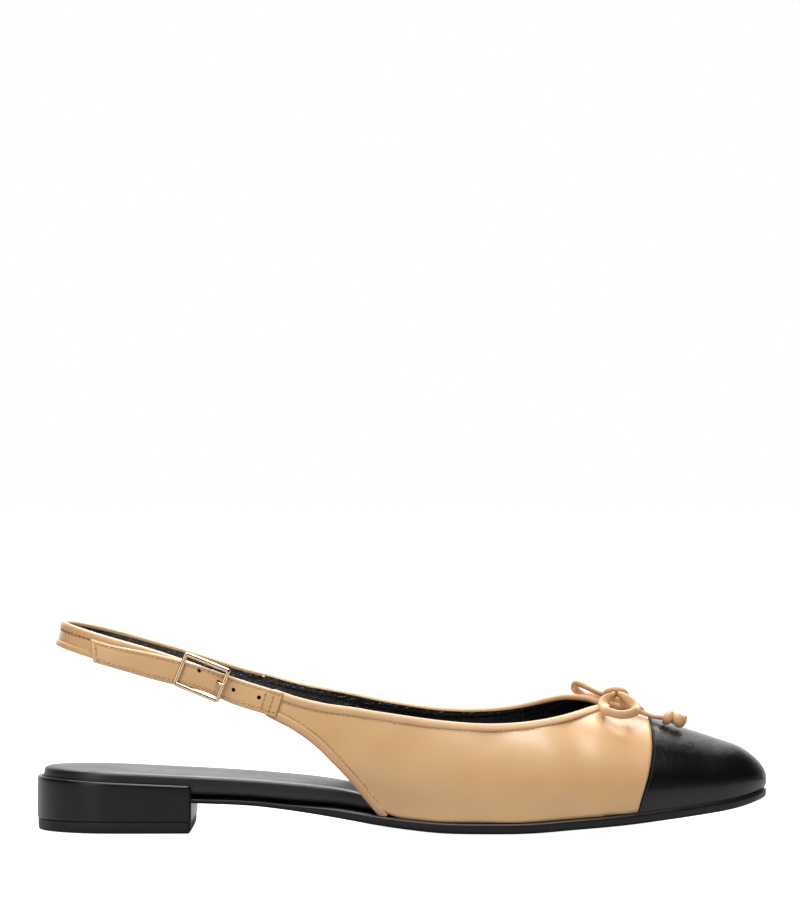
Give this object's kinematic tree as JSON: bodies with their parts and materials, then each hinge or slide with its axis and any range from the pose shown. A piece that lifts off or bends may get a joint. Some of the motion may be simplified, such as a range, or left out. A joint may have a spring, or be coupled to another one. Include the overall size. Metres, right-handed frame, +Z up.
{
  "type": "slingback ballet flat",
  "caption": "Cap-toe slingback ballet flat with a thin sole, low block heel, buckled heel strap and cord bow, for the right foot.",
  "frame": {"origin": "on the floor, under the middle of the shoe's box", "axes": "+X from heel to toe, +Z up, -Y the outer (lateral) side of the right shoe"},
  "size_m": [0.258, 0.0755, 0.0736],
  "materials": {
    "tan_leather": "smooth tan calf leather, soft sheen",
    "black_leather": "smooth black calf leather, glossy",
    "bow_cord": "rolled tan leather cord",
    "sole_board": "black dyed sole with a waxed edge",
    "lift_rubber": "black rubber, matt",
    "gilt_metal": "polished pale gold plating"
  },
  "bodies": {
    "root": {"outsole": "sole_board", "top_lift": "lift_rubber", "heel_block": "black_leather", "insole": "black_leather", "upper": "tan_leather", "toe_cap": "black_leather", "topline_binding": "tan_leather", "edge_binding_lateral": "tan_leather", "edge_binding_medial": "tan_leather", "sling_strap": "tan_leather", "buckle_strap": "tan_leather", "buckle_frame": "gilt_metal", "buckle_prong": "gilt_metal", "bow_knot": "bow_cord", "bow_loop_lateral": "bow_cord", "bow_loop_medial": "bow_cord", "bow_tail_lateral": "bow_cord", "bow_tail_medial": "bow_cord", "bow_end_lateral": "bow_cord", "bow_end_medial": "bow_cord"}
  },
  "joints": []
}
